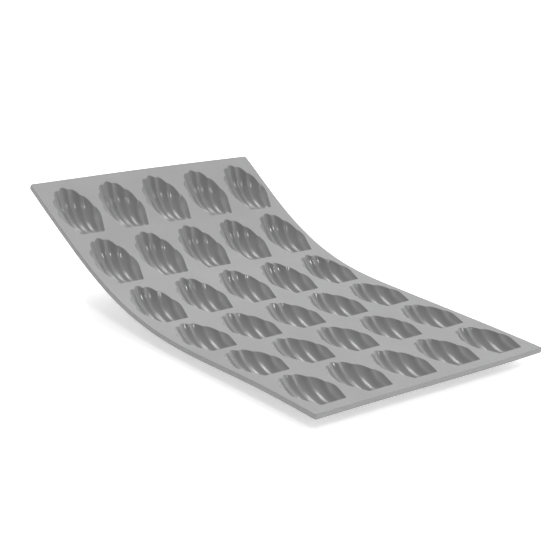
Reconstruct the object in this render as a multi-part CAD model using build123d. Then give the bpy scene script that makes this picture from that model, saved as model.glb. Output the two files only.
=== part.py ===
from build123d import *
import math
import os

# Flexible silicone mould for small shell-shaped cakes: one rubber moulding, a flat sheet with
# 5 x 6 fluted cups below it. It is modelled bent, with its near half lying flat and its far end
# raised. +X is across the sheet (to the right), +Y is along it (towards the raised end), +Z is up.
# The origin is the centre of the bounding box in X and Y, at the level the cups stand on.

# ---- driving dimensions, mm and degrees -------------------------------------------------------
SHEET_W = 176.0          # across, X
SHEET_L = 300.0          # along the sheet
SHEET_T = 3.2            # sheet thickness
COLS, ROWS = 5, 6
PITCH_X = 34.4           # between cup centres in a row
PITCH_Y = 49.0           # between rows
WALL = 1.6               # cup wall
CUP_DEPTH = 11.0         # depth of the cavity below the sheet's top
HALF_LEN = 21.4          # half length of the cavity at the top, fan end to narrow end
HALF_W = 15.0            # half width of the cavity at its widest
NARROW_HALF_W = 9.4      # half width at the blunt narrow end
WIDEST = 3.0             # the widest place is this far from the middle, towards the narrow end
BOWL_POWER = 2.3         # how full the bowl is between its rim and its middle
FLUTE_DEPTH = 1.8        # ridges stand this far above the channels
RIDGE_END = (1.4, 4.0, 6.1)          # where the ridges reach the narrow end, from the middle
RIDGE_SPREAD = (0.05, 0.16, 0.325)   # how much each ridge fans out per mm towards the fan end
FOOT_CUT = 0.6           # how much of the cup's lowest ribs is flat, to stand on
STATIONS = 7             # facets along each flute
ROW_HALF = 22.3          # half length of a row's strip of sheet; what is left between rows is web
CORNER_R = 1.5           # corners of the sheet
BEND = (7.2, 11.8, 11.4)    # bend at rest between rows 1-2, 2-3 and 3-4; the near rows are flat
TWIST = (-0.4, 1.4, 1.1)    # twist about the sheet's length at the same places

STAND = CUP_DEPTH + WALL - FOOT_CUT  # from the feet of the cups to the sheet's top


# ---- the shape of one cavity ------------------------------------------------------------------
# v runs from the fan end (negative) to the blunt narrow end (positive), that is along -Y.
def ridge_x(v):
    """Where the three ridges of one half are, from the middle outwards."""
    t = HALF_LEN - v
    return [RIDGE_END[k] + RIDGE_SPREAD[k] * t for k in range(3)]


def cavity_depth(x, v):
    """Depth of the fluted cavity below the sheet's top, negative outside its rim."""
    s = abs(x)
    if v < WIDEST:
        rv, w, m = (WIDEST - v) / (WIDEST + HALF_LEN), HALF_W, 1.95
    else:
        rv, m = (v - WIDEST) / (HALF_LEN - WIDEST), 5.8
        w = HALF_W + (NARROW_HALF_W - HALF_W) * min(rv, 1.1)
    rho = ((s / w) ** m + rv ** m + 1e-9) ** (1 / m)
    bowl = CUP_DEPTH * (1 - rho ** BOWL_POWER)
    x1, x2, x3 = ridge_x(v)
    x4 = max(w, x3 + 0.3)
    if s < x1:
        ph = 0.5 * s / x1
    elif s < x2:
        ph = 0.5 + (s - x1) / (x2 - x1)
    elif s < x3:
        ph = 1.5 + (s - x2) / (x3 - x2)
    else:
        ph = min(2.5 + 0.5 * (s - x3) / (x4 - x3), 3.0)
    return bowl - FLUTE_DEPTH * (0.5 - 0.5 * math.cos(2 * math.pi * ph))


# the cup's outside is the cavity grown by the wall, as a ball of the wall's radius rolls round it
BALL = [(0.0, 0.0, WALL)]
for ring, n in ((0.35, 6), (0.65, 10), (0.88, 14), (0.98, 16)):
    for k in range(n):
        a = 2 * math.pi * k / n
        BALL.append((ring * WALL * math.cos(a), ring * WALL * math.sin(a), WALL * math.sqrt(1 - ring * ring)))


def outside_depth(x, v):
    return max(cavity_depth(x + dx, v + dy) + dz for dx, dy, dz in BALL)


# lines along the flutes: channels at whole numbers and ridges at halves, then shares of the outermost lobe
INNER_LINES = (0.0, 0.28, 0.5, 0.72, 1.0, 1.28, 1.5, 1.72, 2.0, 2.28, 2.5), (0.5, 1.0)
OUTER_LINES = (0.0, 0.5, 1.0, 1.5, 2.0, 2.5), (0.5, 1.0)


def line_x(ph, v):
    x1, x2, x3 = ridge_x(v)
    if ph <= 0.5:
        return x1 * ph / 0.5
    if ph <= 1.5:
        return x1 + (x2 - x1) * (ph - 0.5)
    return x2 + (x3 - x2) * (ph - 1.5)


def crossing(inside, outside, f):
    """Where f falls to zero between a place inside and one outside."""
    for _ in range(30):
        mid = (inside + outside) / 2
        if f(mid) > 0:
            inside = mid
        else:
            outside = mid
    return (inside + outside) / 2


def faceted(depth, level, phases):
    """The surface of a cup as lines of points along its flutes, right half: x, v and depth."""
    even = [j / STATIONS for j in range(STATIONS + 1)]
    spread = [0.4 * q + 0.3 * (1 - math.cos(math.pi * q)) for q in even]
    lines = []
    for ph in phases[0]:
        far = crossing(0.0, -HALF_LEN - 4, lambda v: depth(line_x(ph, v), v) - level)
        near = crossing(0.0, HALF_LEN + 4, lambda v: depth(line_x(ph, v), v) - level)
        lines.append([(line_x(ph, far + (near - far) * q), far + (near - far) * q) for q in spread])
    ridge = lines[-1]
    notch, foot = ridge[0], ridge[-1]
    v_end = foot[1] - 1.1
    side = [notch]
    for q in spread[1:]:
        v = notch[1] + (v_end - notch[1]) * q
        a = ridge_x(v)[2]
        side.append((crossing(a, 22.0, lambda x: depth(x, v) - level), v))
    for f in phases[1]:
        line = [((1 - f) * r[0] + f * s[0], (1 - f) * r[1] + f * s[1]) for r, s in zip(ridge, side)]
        if f < 1:
            ox, ov = 0.6 * foot[0], foot[1] - 6
            ex, ev = line[-1][0] - ox, line[-1][1] - ov
            k = crossing(0.5, 2.0, lambda k: depth(ox + k * ex, ov + k * ev) - level)
            line[-1] = (ox + k * ex, ov + k * ev)
        lines.append(line)
    out = []
    for i, line in enumerate(lines):
        row = []
        for j, (x, v) in enumerate(line):
            at_rim = j in (0, STATIONS) or i == len(lines) - 1
            row.append((x, v, level if at_rim else max(depth(x, v), level + 0.05)))
        out.append(row)
    return out


def polyhedron(lines, top):
    """The closed solid over such a surface, from its facets up to the level top."""
    whole_set = [[(-x, v, d) for x, v, d in line] for line in lines[:0:-1]] + lines
    at = [[Vector(x, -v, -d) for x, v, d in line] for line in whole_set]
    n, m = len(at), len(at[0])
    faces = []

    def facet(*corners):
        kept = [c for i, c in enumerate(corners) if (c - corners[i - 1]).length > 1e-6]
        if len(kept) >= 3:
            faces.append(Face(Wire.make_polygon(kept, close=True)))

    for i in range(n - 1):
        for j in range(m - 1):
            a, b, c, d = at[i][j], at[i + 1][j], at[i + 1][j + 1], at[i][j + 1]
            if i < n // 2:
                facet(a, b, c)
                facet(a, c, d)
            else:
                facet(a, b, d)
                facet(b, c, d)
    rim = [at[i][0] for i in range(n)] + [at[-1][j] for j in range(1, m)]
    rim += [at[i][-1] for i in range(n - 2, -1, -1)] + [at[0][j] for j in range(m - 2, 0, -1)]
    rim = [p for i, p in enumerate(rim) if (p - rim[i - 1]).length > 1e-6]
    if top > rim[0].Z + 1e-6:
        up = [Vector(p.X, p.Y, top) for p in rim]
        for i in range(len(rim)):
            facet(rim[i - 1], rim[i], up[i], up[i - 1])
        rim = up
    facet(*rim)
    return Solid(Shell(faces))


def whole(shape):
    """The one solid of a shape that should be in one piece."""
    parts = shape.solids()
    big = max(parts, key=lambda s: s.volume)
    assert sum(s.volume for s in parts) - big.volume < 0.01, [s.volume for s in parts]
    return big


cavity = polyhedron(faceted(cavity_depth, 0.0, INNER_LINES), 4.0)
outside = polyhedron(faceted(outside_depth, SHEET_T, OUTER_LINES), -SHEET_T)
outside = outside - Pos(0, 0, -STAND - 5) * Box(60, 60, 10)
cup = whole(outside - cavity)


# ---- rows, each placed by the bends between them ----------------------------------------------
def row_places():
    """Place of each row's own frame: the middle of its strip, at the top of the sheet."""
    places = {}
    for r in range(4, ROWS + 1):
        places[r] = Pos(0, (4 - r) * PITCH_Y, STAND)
    mid = -SHEET_T / 2
    for r in (3, 2, 1):
        hinge = places[r + 1] * Pos(0, PITCH_Y / 2, mid)
        places[r] = hinge * Rot(BEND[r - 1], 0, 0) * Rot(0, TWIST[r - 1], 0) * Pos(0, PITCH_Y / 2, -mid)
    return places


PLACES = row_places()
EDGE = SHEET_L / 2 - (ROWS - 1) / 2 * PITCH_Y     # from an end row's middle to the sheet's end
nodes = {}
for r in range(1, ROWS + 1):
    y_near = -EDGE if r == ROWS else -ROW_HALF
    y_far = EDGE if r == 1 else ROW_HALF
    strip = Pos(0, (y_near + y_far) / 2, -SHEET_T / 2) * Box(SHEET_W, y_far - y_near, SHEET_T)
    if r in (1, ROWS):
        y_end = y_far if r == 1 else y_near
        corners = [e for e in strip.edges().filter_by(Axis.Z) if abs(e.center().Y - y_end) < 0.01]
        strip = fillet(corners, CORNER_R)
    for c in range(COLS):
        strip = strip - Pos((c - 2) * PITCH_X, 0, 0) * cavity
    nodes[f"row_{r}_sheet"] = PLACES[r] * whole(strip)
    for c in range(COLS):
        nodes[f"row_{r}_cup_{c + 1}"] = PLACES[r] * Pos((c - 2) * PITCH_X, 0, 0) * cup

# ---- webs: the sheet between two rows, where it bends -----------------------------------------
for r in range(1, ROWS):
    near, far = PLACES[r + 1], PLACES[r]
    ends = []
    for place, y in ((near, ROW_HALF), (far, -ROW_HALF)):
        pl = Plane(place * Pos(0, y, -SHEET_T / 2))
        ends.append(Plane(pl.origin, x_dir=pl.x_dir, z_dir=-pl.y_dir) * Rectangle(SHEET_W, SHEET_T))
    nodes[f"web_{r}_{r + 1}"] = whole(loft([ends[0].face(), ends[1].face()], ruled=True))

# ---- put the origin at the middle of the bounding box, at the level of the feet ---------------
box = Compound(children=[Solid(s.wrapped) for s in nodes.values()]).bounding_box()
shift = Pos(-(box.min.X + box.max.X) / 2, -(box.min.Y + box.max.Y) / 2, -box.min.Z)
os.makedirs("parts", exist_ok=True)
total = 0.0
for name, shape in nodes.items():
    moved = shift * shape
    export_step(moved, f"parts/{name}.step")
    total += moved.volume
print("box", box.size, "shift", shift.position, "volume cm3", round(total / 1000, 1))
for r in range(1, ROWS + 1):
    p = shift * PLACES[r]
    print("row", r, [round(v, 4) for v in p.position], [round(v, 4) for v in p.orientation])
for r in range(1, ROWS):
    h = shift * PLACES[r + 1] * Pos(0, PITCH_Y / 2, -SHEET_T / 2)
    print("web", r, r + 1, [round(v, 4) for v in h.position], [round(v, 5) for v in Plane(h).x_dir])
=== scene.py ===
import math

import bpy
import numpy as np
from mathutils import Matrix, Vector


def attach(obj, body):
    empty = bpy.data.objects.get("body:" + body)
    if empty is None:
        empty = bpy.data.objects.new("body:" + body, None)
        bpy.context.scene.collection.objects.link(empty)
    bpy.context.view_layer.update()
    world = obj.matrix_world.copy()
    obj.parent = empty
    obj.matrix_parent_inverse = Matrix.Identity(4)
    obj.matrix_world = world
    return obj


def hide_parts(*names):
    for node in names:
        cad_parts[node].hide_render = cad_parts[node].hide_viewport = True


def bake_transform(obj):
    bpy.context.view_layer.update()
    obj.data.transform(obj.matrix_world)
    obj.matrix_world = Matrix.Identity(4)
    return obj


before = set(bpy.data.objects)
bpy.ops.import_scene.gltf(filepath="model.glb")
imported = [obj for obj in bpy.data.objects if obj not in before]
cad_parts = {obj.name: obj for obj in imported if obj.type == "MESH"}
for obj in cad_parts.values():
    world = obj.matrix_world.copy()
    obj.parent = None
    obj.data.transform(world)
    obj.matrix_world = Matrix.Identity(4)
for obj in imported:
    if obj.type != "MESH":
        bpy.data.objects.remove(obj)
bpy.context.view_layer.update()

MM = 0.001

# ----------------------------------------------------------------------------
# The mat's shape. u runs left to right across it, v from the raised far edge
# to the near one, w up from the top face. All in millimetres.
# ----------------------------------------------------------------------------
MAT_W, MAT_L, MAT_T = 176.0, 300.0, 3.2
COLS, ROWS = 5, 6
PITCH_U, PITCH_V = 34.4, 48.4
CENTRE_U, FIRST_V = 0.4, 28.6
GAP = 4.0                 # the bare strip between two rows, where the mat bends
EDGE_R = 0.35             # rounding of the rim
CORNER_R = 1.4
CUP_WALL = 1.6
FOOT = 12.0               # how far the cups reach below the top face

# The bent sheet: control points of its top face, one row per line across the
# mat, from the left edge to the right, each from the far end to the near end.
SHEET = [
    [(-87.18, 143.29, 69.40), (-87.36, 130.85, 62.37), (-87.69, 105.51, 49.18), (-88.16, 67.31, 29.67), (-88.35, 26.43, 16.00),
     (-88.35, -16.35, 11.17), (-88.34, -59.20, 11.98), (-88.34, -102.06, 12.84), (-88.35, -130.62, 11.71), (-88.35, -144.89, 11.19)],
    [(-57.86, 143.27, 68.71), (-58.03, 130.84, 61.67), (-58.37, 105.66, 48.18), (-58.84, 67.47, 28.67), (-59.01, 26.45, 15.53),
     (-59.02, -16.34, 11.02), (-59.01, -59.20, 12.00), (-59.01, -102.06, 12.86), (-59.01, -130.63, 12.06), (-59.01, -144.90, 11.57)],
    [(0.83, 142.95, 67.77), (0.64, 130.56, 60.64), (0.21, 106.55, 45.12), (-0.25, 68.04, 26.02), (-0.35, 26.46, 14.67),
     (-0.34, -16.35, 10.92), (-0.35, -59.20, 12.04), (-0.34, -102.05, 12.15), (-0.35, -130.62, 11.58), (-0.35, -144.90, 11.15)],
    [(59.45, 143.58, 65.04), (59.25, 131.19, 57.94), (58.81, 107.18, 42.44), (58.35, 68.54, 23.50), (58.29, 26.57, 13.39),
     (58.34, -16.37, 11.92), (58.33, -59.19, 11.87), (58.33, -102.06, 11.80), (58.32, -130.63, 11.45), (58.32, -144.91, 11.10)],
    [(88.75, 143.82, 63.83), (88.56, 131.43, 56.73), (88.12, 107.43, 41.23), (87.66, 68.79, 22.25), (87.63, 26.58, 12.93),
     (87.67, -16.36, 12.62), (87.66, -59.20, 12.55), (87.65, -102.07, 12.45), (87.65, -130.64, 12.05), (87.65, -144.92, 11.69)],
]
SHEET = np.array(SHEET)


def spline_basis(x, n, lo, hi, degree=3):
    """Clamped uniform B-spline basis and its first derivative, one row per x."""
    knots = np.concatenate([[lo] * degree, np.linspace(lo, hi, n - degree + 1), [hi] * degree])
    x = np.clip(x, lo, hi - 1e-9)
    level = [((x >= knots[i]) & (x < knots[i + 1])).astype(float) for i in range(len(knots) - 1)]
    lower = level
    for k in range(1, degree + 1):
        lower = level
        level = []
        for i in range(len(knots) - 1 - k):
            a, b = knots[i + k] - knots[i], knots[i + k + 1] - knots[i + 1]
            left = (x - knots[i]) / a * lower[i] if a > 0 else 0 * x
            right = (knots[i + k + 1] - x) / b * lower[i + 1] if b > 0 else 0 * x
            level.append(left + right)
    slope = []
    for i in range(n):
        a, b = knots[i + degree] - knots[i], knots[i + degree + 1] - knots[i + 1]
        left = degree / a * lower[i] if a > 0 else 0 * x
        right = degree / b * lower[i + 1] if b > 0 else 0 * x
        slope.append(left - right)
    return np.stack(level[:n], 1), np.stack(slope, 1)


def to_space(points):
    """Mat coordinates (u, v, w) to the frame, in millimetres."""
    u, v, w = points[:, 0], points[:, 1], points[:, 2]
    bu, du = spline_basis(u, SHEET.shape[0], -MAT_W / 2, MAT_W / 2)
    bv, dv = spline_basis(v, SHEET.shape[1], 0.0, MAT_L)
    place = np.einsum("pi,pj,ijk->pk", bu, bv, SHEET)
    along_u = np.einsum("pi,pj,ijk->pk", du, bv, SHEET)
    along_v = np.einsum("pi,pj,ijk->pk", bu, dv, SHEET)
    up = np.cross(along_v, along_u)
    up /= np.linalg.norm(up, axis=1)[:, None]
    return place + up * w[:, None]


# ----------------------------------------------------------------------------
# One shell-shaped cavity. x across it, y along it: the fan end is at -y (far),
# the blunt end at +y (near). Depths are positive downwards.
# ----------------------------------------------------------------------------
HALF_L = 21.6
SHELL = dict(depth=10.3, across=2.25, waist=5.7, half_w=15.03, narrow=8.9, oval=1.99, along=2.0,
             ridge=(1.29, 4.3, 6.5), spread=(0.0526, 0.149, 0.303), end=0.78, fade=1.11, soft=0.10,
             crown=0.92, flute=2.4, calm=0.25, lean=0.2)


def smooth_max(a, b, k):
    d = a - b
    return np.where(np.abs(d) < k, b + (d + k) ** 2 / (4 * k), np.maximum(a, b))


def cavity(x, y):
    """Depth of the fluted bowl below the top face; below zero outside its rim."""
    s = np.abs(x)
    q = SHELL
    vc, hl = q["waist"], HALF_L
    along = np.where(y < vc, (vc - y) / (vc + hl), (y - vc) / (hl - vc))
    w = q["half_w"] + (q["narrow"] - q["half_w"]) * np.clip((y - vc) / (hl - vc), -2, 2)
    w = np.maximum(-smooth_max(-w, -q["half_w"], 1.2), 1.0)
    across = s / w

    def dome(r, power, e):
        t = 1 - r ** power
        return np.sign(t) * np.abs(t) ** e

    rho = (across ** q["oval"] + np.maximum(along, 0) ** q["oval"] + 1e-9) ** (1 / q["oval"])
    Q = dome(np.maximum(along, 0) + 1e-9, q["along"], q["end"])
    P = dome(across + 1e-9, q["across"], q["crown"])
    fan = dome(rho, q["across"], q["crown"])
    both = 1 / np.sqrt(np.clip(P, 1e-3, 1) ** -2 + np.clip(Q, 1e-3, 1) ** -2 - 1)      # keeps the corners crisp
    near = np.where(P >= 0, np.where(Q >= 0, both, Q), P * np.maximum(Q, 0.5) + np.minimum(Q, 0))
    h = q["depth"] * np.where(y < vc, fan, near) * (1 + q["lean"] * np.clip((vc - y) / (vc + hl), -1, 1))
    t = hl - y
    x1 = q["ridge"][0] + q["spread"][0] * t
    x2 = np.maximum(q["ridge"][1] + q["spread"][1] * t, x1 + 0.3)
    x3 = np.maximum(q["ridge"][2] + q["spread"][2] * t, x2 + 0.3)
    x4 = np.maximum(w, x3 + 0.3)
    phase = np.where(s < x1, 0.5 * s / x1, np.where(s < x2, 0.5 + (s - x1) / (x2 - x1),
            np.where(s < x3, 1.5 + (s - x2) / (x3 - x2), 2.5 + 0.5 * (s - x3) / (x4 - x3))))
    f = phase - np.round(phase)
    wave = (1 - q["soft"]) * (2 * f) ** 2 + q["soft"] * (0.5 - 0.5 * np.cos(2 * np.pi * f))
    size = q["flute"] * (0.42 + 0.58 * np.clip(t / 36, 0, 1))      # shallower where the flutes run together
    size = size * np.where(y < vc, 1, np.clip(1 - np.clip(along, 0, 1) ** 5, 0, 1) ** q["fade"])
    size = size * (1 - q["calm"] * np.clip(h / q["depth"], 0, 1))
    return h - size * wave


# The outside of a cup: the bowl grown by the wall thickness, on a fine grid.
STEP = 0.25
GX = np.arange(-18.5, 18.5 + STEP / 2, STEP)
GY = np.arange(-25.0, 25.0 + STEP / 2, STEP)
_gx, _gy = np.meshgrid(GX, GY, indexing="ij")
_in = np.maximum(cavity(_gx, _gy), -4.0)
_out = np.full_like(_in, -9.0)
_n = int(CUP_WALL / STEP)
for _i in range(-_n, _n + 1):
    for _j in range(-_n, _n + 1):
        _d2 = (_i * STEP) ** 2 + (_j * STEP) ** 2
        if _d2 > CUP_WALL ** 2:
            continue
        _out = np.maximum(_out, np.roll(np.roll(_in, _i, 0), _j, 1) + math.sqrt(CUP_WALL ** 2 - _d2))


def blur(a, sigma):
    r = int(3 * sigma + 1)
    kernel = np.exp(-0.5 * (np.arange(-r, r + 1) / sigma) ** 2)
    kernel /= kernel.sum()
    for axis in (0, 1):
        pad = [(r, r) if i == axis else (0, 0) for i in (0, 1)]
        b = np.pad(a, pad, mode="edge")
        a = sum(kernel[i] * np.take(b, range(i, i + a.shape[axis]), axis) for i in range(2 * r + 1))
    return a


_out = blur(_out, 1.6)


def cup_outside(x, y):
    """Depth of the cup's outer face below the top face."""
    fx = np.clip((x - GX[0]) / STEP, 0, len(GX) - 1.001)
    fy = np.clip((y - GY[0]) / STEP, 0, len(GY) - 1.001)
    i, j = fx.astype(int), fy.astype(int)
    a, b = fx - i, fy - j
    return (_out[i, j] * (1 - a) * (1 - b) + _out[i + 1, j] * a * (1 - b)
            + _out[i, j + 1] * (1 - a) * b + _out[i + 1, j + 1] * a * b)


def rim(fn, level, angle):
    """Radius along each ray at which fn falls to level, found from outside in."""
    r = np.linspace(26.0, 3.0, 461)
    values = fn(r[:, None] * np.cos(angle), r[:, None] * np.sin(angle)) - level
    first = np.argmax(values > 0, 0)
    a, b = r[first - 1], r[first]
    va = np.take_along_axis(values, (first - 1)[None], 0)[0]
    vb = np.take_along_axis(values, first[None], 0)[0]
    return a + (b - a) * (-va) / (vb - va)


# ----------------------------------------------------------------------------
# The mesh of the whole mat, in mat coordinates.
# ----------------------------------------------------------------------------
RAYS = 144
HALF_CELL_V = (PITCH_V - GAP) / 2
HALF_CELL_U = PITCH_U / 2
angle = np.arange(RAYS) * 2 * np.pi / RAYS + np.pi / RAYS
cx, cy = np.cos(angle), np.sin(angle)
_edge = np.minimum(HALF_CELL_U / np.abs(cx), HALF_CELL_V / np.abs(cy))
cell_x, cell_y = cx * _edge, cy * _edge
_corner = math.atan2(HALF_CELL_V, HALF_CELL_U)
for _sx, _sy in ((1, 1), (-1, 1), (-1, -1), (1, -1)):
    _a = math.atan2(_sy * HALF_CELL_V, _sx * HALF_CELL_U) % (2 * np.pi)
    _k = int(np.argmin(np.abs(angle - _a)))
    cell_x[_k], cell_y[_k] = _sx * HALF_CELL_U, _sy * HALF_CELL_V
cell_x, cell_y = np.round(cell_x, 5), np.round(cell_y, 5)

points, faces, labels, polished = [], [], [], []


def add_ring_patch(rings, u0, v0, label, top, centre=None, gloss_from=999):
    """Quads between successive closed rings of points, optionally closed at the centre."""
    base = sum(len(p) for p in points)
    n = len(rings[0])
    block = np.concatenate(rings + ([centre[None]] if centre is not None else []))
    block = block + np.array([u0, v0, 0.0])
    points.append(block)
    for r in range(len(rings) - 1):
        for i in range(n):
            j = (i + 1) % n
            quad = [base + r * n + i, base + r * n + j, base + (r + 1) * n + j, base + (r + 1) * n + i]
            faces.append(quad[::-1] if top else quad)
            labels.append(label)
            polished.append(r >= gloss_from)
    if centre is not None:
        last, c = base + (len(rings) - 1) * n, base + len(rings) * n
        for i in range(n):
            j = (i + 1) % n
            tri = [last + i, last + j, c]
            faces.append(tri[::-1] if top else tri)
            labels.append(label)
            polished.append(gloss_from < 999)


def ring(radius, depth_fn):
    x, y = radius * cx, radius * cy
    return np.stack([x, y, -depth_fn(x, y)], 1)


SOFT_RIM = 0.35
top_depth = lambda x, y: smooth_max(cavity(x, y), 0.0, SOFT_RIM)
r_flat = rim(cavity, -SOFT_RIM + 1e-4, angle)
r_in = rim(cavity, SOFT_RIM, angle)
top_rings = [np.stack([cell_x, cell_y, 0 * cell_x], 1)]
for f in (0.5,):
    top_rings.append(np.stack([cell_x * (1 - f) + r_flat * cx * f, cell_y * (1 - f) + r_flat * cy * f, 0 * cx], 1))
top_rings.append(np.stack([r_flat * cx, r_flat * cy, 0 * cx], 1))
for f in (0.25, 0.5, 0.75, 1.0):
    top_rings.append(ring(r_flat + (r_in - r_flat) * f, top_depth))
INNER = 24
for k in range(1, INNER):
    s = 1 - k / INNER
    top_rings.append(ring(r_in * s, top_depth))
top_centre = np.array([0.0, 0.0, -float(top_depth(np.array([0.0]), np.array([0.0]))[0])])

SOFT_ROOT = 0.7
def under_depth(x, y):
    d = smooth_max(cup_outside(x, y), MAT_T, SOFT_ROOT)
    return -smooth_max(-d, -FOOT, 0.35)
b_flat = rim(cup_outside, MAT_T - SOFT_ROOT + 1e-4, angle)
b_in = rim(cup_outside, MAT_T + SOFT_ROOT, angle)
low = np.full(RAYS, -MAT_T)
bot_rings = [np.stack([cell_x, cell_y, low], 1), np.stack([b_flat * cx, b_flat * cy, low], 1)]
for f in (0.33, 0.67, 1.0):
    bot_rings.append(ring(b_flat + (b_in - b_flat) * f, under_depth))
UNDER = 16
for k in range(1, UNDER):
    bot_rings.append(ring(b_in * (1 - k / UNDER), under_depth))
bot_centre = np.array([0.0, 0.0, -float(under_depth(np.array([0.0]), np.array([0.0]))[0])])

row_v = [FIRST_V + PITCH_V * r for r in range(ROWS)]
col_u = [CENTRE_U + PITCH_U * (c - (COLS - 1) / 2) for c in range(COLS)]
for r in range(ROWS):
    for c in range(COLS):
        add_ring_patch(top_rings, col_u[c], row_v[r], ("row", r), True, top_centre, gloss_from=4)
        add_ring_patch(bot_rings, col_u[c], row_v[r], ("row", r), False, bot_centre)

# The bare strips between the rows, top and bottom.
side = cell_y > HALF_CELL_V - 1e-4
xs = np.unique(cell_x[side])
strip_u = np.unique(np.round(np.concatenate([col_u[c] + xs for c in range(COLS)]), 4))
WEB_STEPS = 8
for r in range(ROWS - 1):
    a, b = row_v[r] + HALF_CELL_V, row_v[r + 1] - HALF_CELL_V
    vs = np.linspace(a, b, WEB_STEPS + 1)
    for w, flip in ((0.0, False), (-MAT_T, True)):
        base = sum(len(p) for p in points)
        uu, vv = np.meshgrid(strip_u, vs)
        points.append(np.stack([uu.ravel(), vv.ravel(), np.full(uu.size, w)], 1))
        n = len(strip_u)
        for i in range(WEB_STEPS):
            for j in range(n - 1):
                quad = [base + i * n + j, base + i * n + j + 1, base + (i + 1) * n + j + 1, base + (i + 1) * n + j]
                faces.append(quad if flip else quad[::-1])
                labels.append(("web", r))
                polished.append(False)

# The border: from the outermost cells to the rim, round the edge and back.
u_lo, u_hi = col_u[0] - HALF_CELL_U, col_u[-1] + HALF_CELL_U
v_lo, v_hi = row_v[0] - HALF_CELL_V, row_v[-1] + HALF_CELL_V
ys = np.unique(cell_y[cell_x > HALF_CELL_U - 1e-4])
side_v = [row_v[r] + ys for r in range(ROWS)]
for r in range(ROWS - 1):
    side_v.append(np.linspace(row_v[r] + HALF_CELL_V, row_v[r + 1] - HALF_CELL_V, WEB_STEPS + 1))
side_v = np.unique(np.round(np.concatenate(side_v), 4))


def clean(values, tol=2e-3):
    out = [values[0]]
    for x in values[1:]:
        if x - out[-1] > tol:
            out.append(x)
    return np.array(out)


side_v, end_u = clean(side_v), clean(strip_u)
profile = [(EDGE_R + 0.001, 0.0)]
for k in range(1, 5):
    t = k / 4 * math.pi / 2
    profile.append((EDGE_R - EDGE_R * math.sin(t), -EDGE_R + EDGE_R * math.cos(t)))
profile.append((0.0, -MAT_T / 2))
for k in range(0, 5):
    t = (4 - k) / 4 * math.pi / 2
    profile.append((EDGE_R - EDGE_R * math.sin(t), -MAT_T + EDGE_R - EDGE_R * math.cos(t)))

loop = []      # (inner u, inner v, outward direction, place on the outline's straight, corner centre or None)
half_w, c_r = MAT_W / 2, CORNER_R
arc = 6
def corner(iu, iv, su, sv, start):
    out = []
    centre = (su * (half_w - c_r), (MAT_L - c_r) if sv > 0 else c_r)
    for k in range(arc + 1):
        t = start + k / arc * math.pi / 2
        out.append((iu, iv, math.cos(t), math.sin(t), centre))
    return out
for v in side_v[1:-1]:
    loop.append((u_hi, v, 1.0, 0.0, None))
loop += corner(u_hi, v_hi, 1, 1, 0.0)
for u in end_u[::-1][1:-1]:
    loop.append((u, v_hi, 0.0, 1.0, None))
loop += corner(u_lo, v_hi, -1, 1, math.pi / 2)
for v in side_v[::-1][1:-1]:
    loop.append((u_lo, v, -1.0, 0.0, None))
loop += corner(u_lo, v_lo, -1, -1, math.pi)
for u in end_u[1:-1]:
    loop.append((u, v_lo, 0.0, -1.0, None))
loop += corner(u_hi, v_lo, 1, -1, 1.5 * math.pi)


def outline_point(entry, inset):
    u, v, du, dv, centre = entry
    if centre is None:
        if du:
            return du * (half_w - inset), v
        return u, (MAT_L - inset) if dv > 0 else inset
    return centre[0] + du * (c_r - inset), centre[1] + dv * (c_r - inset)


border = []
for e in loop:
    line = [(e[0], e[1], 0.0)]
    for inset, w in profile:
        pu, pv = outline_point(e, inset)
        line.append((pu, pv, w))
    line.append((e[0], e[1], -MAT_T))
    border.append(line)
border = np.array(border)
base = sum(len(p) for p in points)
nl, npf = border.shape[:2]
points.append(border.reshape(-1, 3))
web_spans = [(row_v[r] + HALF_CELL_V, row_v[r + 1] - HALF_CELL_V) for r in range(ROWS - 1)]


def label_at(v):
    for r, (a, b) in enumerate(web_spans):
        if v < a:
            return ("row", r)
        if v < b:
            return ("web", r)
    return ("row", ROWS - 1)


for i in range(nl):
    j = (i + 1) % nl
    mid = (border[i, 0, 1] + border[j, 0, 1]) / 2
    for k in range(npf - 1):
        faces.append([base + j * npf + k, base + j * npf + k + 1, base + i * npf + k + 1, base + i * npf + k])
        labels.append(label_at(mid))
        polished.append(False)

points = np.concatenate(points)

# Merge the shared points.
key = np.round(points / 0.0025).astype(np.int64)
_, first, inverse = np.unique(key, axis=0, return_index=True, return_inverse=True)
inverse = inverse.ravel()
flat = points[first]
clean_faces, clean_labels, clean_polish = [], [], []
for f, l, g_ in zip(faces, labels, polished):
    g = [int(inverse[i]) for i in f]
    g = [a for i, a in enumerate(g) if a != g[i - 1]]
    if len(set(g)) >= 3:
        clean_faces.append(g)
        clean_labels.append(l)
        clean_polish.append(g_)
faces, labels, polished = clean_faces, clean_labels, clean_polish

space = to_space(flat)
# The cups stand on the floor with a small flat.
space[:, 2] = smooth_max(space[:, 2], 0.0, 0.05)


def vertex_normals(co, faces):
    out = np.zeros_like(co)
    for size in (3, 4):
        sel = np.array([f for f in faces if len(f) == size])
        if not len(sel):
            continue
        if size == 3:
            n = np.cross(co[sel[:, 1]] - co[sel[:, 0]], co[sel[:, 2]] - co[sel[:, 0]])
        else:
            n = np.cross(co[sel[:, 2]] - co[sel[:, 0]], co[sel[:, 3]] - co[sel[:, 1]])
        for k in range(size):
            np.add.at(out, sel[:, k], n)
    return out / np.maximum(np.linalg.norm(out, axis=1), 1e-12)[:, None]


normals = vertex_normals(space, faces)


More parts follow.
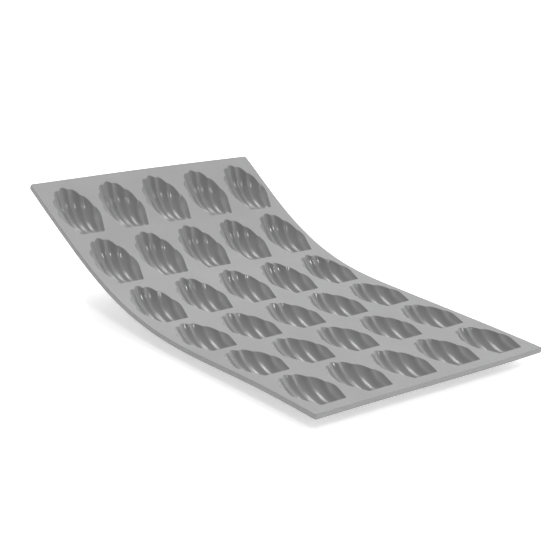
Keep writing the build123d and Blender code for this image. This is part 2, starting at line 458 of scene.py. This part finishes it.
# ----------------------------------------------------------------------------
# Materials
# ----------------------------------------------------------------------------
def silicone(name, rough, grain_depth):
    m = bpy.data.materials.new(name)
    m.use_nodes = True
    nt = m.node_tree
    nt.nodes.clear()
    out = nt.nodes.new("ShaderNodeOutputMaterial")
    b = nt.nodes.new("ShaderNodeBsdfPrincipled")
    nt.links.new(b.outputs[0], out.inputs[0])
    tc = nt.nodes.new("ShaderNodeTexCoord")

    def noise(scale, detail=3.0, rough=0.5):
        n = nt.nodes.new("ShaderNodeTexNoise")
        n.inputs["Scale"].default_value = scale
        n.inputs["Detail"].default_value = detail
        n.inputs["Roughness"].default_value = rough
        nt.links.new(tc.outputs["Object"], n.inputs["Vector"])
        return n

    cloud = noise(38.0, 3.0)
    ramp = nt.nodes.new("ShaderNodeValToRGB")
    ramp.color_ramp.elements[0].position = 0.30
    ramp.color_ramp.elements[1].position = 0.70
    ramp.color_ramp.elements[0].color = (0.228, 0.228, 0.230, 1)
    ramp.color_ramp.elements[1].color = (0.246, 0.246, 0.249, 1)
    nt.links.new(cloud.outputs["Fac"], ramp.inputs[0])
    nt.links.new(ramp.outputs[0], b.inputs["Base Color"])

    grain = noise(900.0, 2.0)
    r2 = nt.nodes.new("ShaderNodeMapRange")
    r2.inputs["From Min"].default_value = 0.3
    r2.inputs["From Max"].default_value = 0.7
    r2.inputs["To Min"].default_value = rough - 0.04
    r2.inputs["To Max"].default_value = rough + 0.04
    nt.links.new(grain.outputs["Fac"], r2.inputs["Value"])
    nt.links.new(r2.outputs[0], b.inputs["Roughness"])

    fine = noise(2600.0, 2.0)
    bump = nt.nodes.new("ShaderNodeBump")
    bump.inputs["Strength"].default_value = 0.12
    bump.inputs["Distance"].default_value = grain_depth
    nt.links.new(fine.outputs["Fac"], bump.inputs["Height"])
    nt.links.new(bump.outputs[0], b.inputs["Normal"])
    b.inputs["Specular IOR Level"].default_value = 0.45
    return m


SATIN = silicone("grey_silicone_satin", 0.55, 0.00002)       # the sheet
POLISHED = silicone("grey_silicone_polished", 0.14, 0.000001)  # the insides of the cups


def build_piece(name, label):
    """The part of the mat with this label, closed with a cap at each cut."""
    own = [f for f, l in zip(faces, labels) if l == label]
    shine = [g for g, l in zip(polished, labels) if l == label]
    edge_count = {}
    for f in own:
        for i in range(len(f)):
            e = (f[i], f[(i + 1) % len(f)])
            edge_count[e] = edge_count.get(e, 0) + 1
    open_edges = [e for e in edge_count if (e[1], e[0]) not in edge_count]
    caps = []
    by_v = {}
    for a, b in open_edges:
        by_v.setdefault(round((flat[a, 1] + flat[b, 1]) / 2, 2), set()).update((a, b))
    centre_v = np.mean([flat[f[0], 1] for f in own])
    for v, ids in by_v.items():
        ids = np.array(sorted(ids))
        q = flat[ids]
        top = ids[q[:, 2] > -1e-3]
        bottom = ids[q[:, 2] < -MAT_T + 1e-3]
        mid = ids[(q[:, 2] <= -1e-3) & (q[:, 2] >= -MAT_T + 1e-3)]
        top = top[np.argsort(flat[top, 0])]
        bottom = bottom[np.argsort(flat[bottom, 0])]
        if len(top) != len(bottom):
            raise SystemExit(f"{name}: cap at {v} has {len(top)} top and {len(bottom)} bottom points")
        left = mid[flat[mid, 0] < 0]
        right = mid[flat[mid, 0] > 0]
        left = left[np.argsort(-flat[left, 2])]
        right = right[np.argsort(-flat[right, 2])]
        near = v > centre_v
        for i in range(len(top) - 1):
            quad = [top[i], top[i + 1], bottom[i + 1], bottom[i]]
            caps.append(quad if not near else quad[::-1])
        for poly in ([top[-1], *right, bottom[-1]], [bottom[0], *left[::-1], top[0]]):
            caps.append(poly if not near else poly[::-1])
    used = np.unique(np.concatenate([np.array(f) for f in own]))
    index = {int(g): i for i, g in enumerate(used)}
    poly = [[index[int(i)] for i in f] for f in own + caps]
    mesh = bpy.data.meshes.new(name)
    mesh.from_pydata((space[used] * MM).tolist(), [], poly)
    mesh.validate()
    mesh.update()
    for p in mesh.polygons:
        p.use_smooth = True
    loop_normals = np.zeros((len(mesh.loops), 3))
    vn = normals[used]
    n_own = len(own)
    for p in mesh.polygons:
        if p.index < n_own:
            for li in p.loop_indices:
                loop_normals[li] = vn[mesh.loops[li].vertex_index]
        else:
            for li in p.loop_indices:
                loop_normals[li] = p.normal
    mesh.normals_split_custom_set([tuple(x) for x in loop_normals])
    mesh.materials.append(SATIN)
    mesh.materials.append(POLISHED)
    mesh.polygons.foreach_set("material_index", np.array([int(x) for x in shine] + [0] * len(caps), np.int32))
    o = bpy.data.objects.new(name, mesh)
    bpy.context.scene.collection.objects.link(o)
    return o


def signed_volume(o):
    m = o.data
    m.calc_loop_triangles()
    co = np.zeros(len(m.vertices) * 3)
    m.vertices.foreach_get("co", co)
    co = co.reshape(-1, 3)
    t = np.zeros(len(m.loop_triangles) * 3, int)
    m.loop_triangles.foreach_get("vertices", t)
    t = t.reshape(-1, 3)
    a, b, c = co[t[:, 0]], co[t[:, 1]], co[t[:, 2]]
    return float(np.einsum("ij,ij->i", a, np.cross(b, c)).sum() / 6)


total = 0.0
for r in range(ROWS):
    o = build_piece(f"mat_row_{r + 1}", ("row", r))
    total += signed_volume(o)
    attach(o, f"row_{r + 1}")
    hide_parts(f"row_{r + 1}_sheet", *[f"row_{r + 1}_cup_{c + 1}" for c in range(COLS)])
for r in range(ROWS - 1):
    o = build_piece(f"mat_web_{r + 1}_{r + 2}", ("web", r))
    total += signed_volume(o)
    a, b = web_spans[r]
    ends = to_space(np.array([[0.0, b, -MAT_T / 2], [0.0, a, -MAT_T / 2]])) * MM
    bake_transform(o)
    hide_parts(f"web_{r + 1}_{r + 2}")
print("mat volume cm3", round(total * 1e6, 2), "faces", len(faces))


# ----------------------------------------------------------------------------
# Floor, light and camera
# ----------------------------------------------------------------------------
def pale_floor():
    size = 40.0
    mesh = bpy.data.meshes.new("floor")
    mesh.from_pydata([(-size, -size, 0), (size, -size, 0), (size, size, 0), (-size, size, 0)], [], [(0, 1, 2, 3)])
    o = bpy.data.objects.new("floor", mesh)
    bpy.context.scene.collection.objects.link(o)
    m = bpy.data.materials.new("pale_floor")
    m.use_nodes = True
    b = m.node_tree.nodes["Principled BSDF"]
    b.inputs["Base Color"].default_value = (0.92, 0.92, 0.92, 1)
    b.inputs["Roughness"].default_value = 0.9
    b.inputs["Specular IOR Level"].default_value = 0.1
    b.inputs["Emission Color"].default_value = (1, 1, 1, 1)      # a table lit from below
    b.inputs["Emission Strength"].default_value = 0.45
    mesh.materials.append(m)
    return o


pale_floor()

# Soft lights of the studio as broad bright places in the surroundings:
# azimuth from +X towards +Y, elevation, half width (degrees), brightness.
BASE = 0.21
LIGHTS = [
    (66.0, 42.0, 15.0, 3.7),      # the main softbox, tall and wide, high behind the mat
    (70.0, 57.0, 15.0, 4.7),
    (76.0, 72.0, 15.0, 3.7),
    (44.0, 56.0, 16.0, 5.6),
    (20.0, 36.0, 40.0, 1.2),      # behind on the right
    (345.0, 30.0, 40.0, 1.5),     # from the right
    (300.0, 28.0, 35.0, 0.9),     # low in front on the right
    (152.0, 45.0, 40.0, 0.6),     # a weak fill from the left, behind
    (240.0, 50.0, 8.0, 27.0),     # a small lamp above the camera: the glints
]

world = bpy.data.worlds.new("studio")
bpy.context.scene.world = world
world.use_nodes = True
wt = world.node_tree
bg = wt.nodes["Background"]
bg.inputs["Color"].default_value = (1, 1, 1, 1)
where = wt.nodes.new("ShaderNodeTexCoord")
last = None
for az, el, width, power in LIGHTS:
    a, e = math.radians(az), math.radians(el)
    side = wt.nodes.new("ShaderNodeVectorMath")
    side.operation = "DOT_PRODUCT"
    side.inputs[1].default_value = (math.cos(a) * math.cos(e), math.sin(a) * math.cos(e), math.sin(e))
    wt.links.new(where.outputs["Generated"], side.inputs[0])
    fade = wt.nodes.new("ShaderNodeMapRange")
    fade.interpolation_type = "SMOOTHSTEP"
    fade.inputs["From Min"].default_value = math.cos(math.radians(width))
    fade.inputs["From Max"].default_value = 1.0
    fade.inputs["To Max"].default_value = power
    wt.links.new(side.outputs["Value"], fade.inputs["Value"])
    add = wt.nodes.new("ShaderNodeMath")
    add.operation = "ADD"
    add.inputs[1].default_value = BASE
    wt.links.new(fade.outputs[0], add.inputs[0])
    if last:
        wt.links.new(last.outputs[0], add.inputs[1])
    last = add
wt.links.new(last.outputs[0], bg.inputs["Strength"])


RIGHT = Vector((0.774664, -0.631406, 0.034950))
DOWN = Vector((-0.176514, -0.268973, -0.946835))
FORWARD = Vector((0.607238, 0.727310, -0.319816))
camera_data = bpy.data.cameras.new("camera")
camera_data.sensor_fit = "HORIZONTAL"
camera_data.sensor_width = 36.0
camera_data.lens = 110.913
camera_data.clip_start, camera_data.clip_end = 0.01, 50.0
camera = bpy.data.objects.new("camera", camera_data)
bpy.context.scene.collection.objects.link(camera)
turn = Matrix((RIGHT, -DOWN, -FORWARD)).transposed()
camera.matrix_world = Matrix.Translation(Vector((-0.645441, -0.778460, 0.370448))) @ turn.to_4x4()
bpy.context.scene.camera = camera
bpy.context.scene.view_settings.view_transform = "Standard"
bpy.context.scene.view_settings.look = "None"
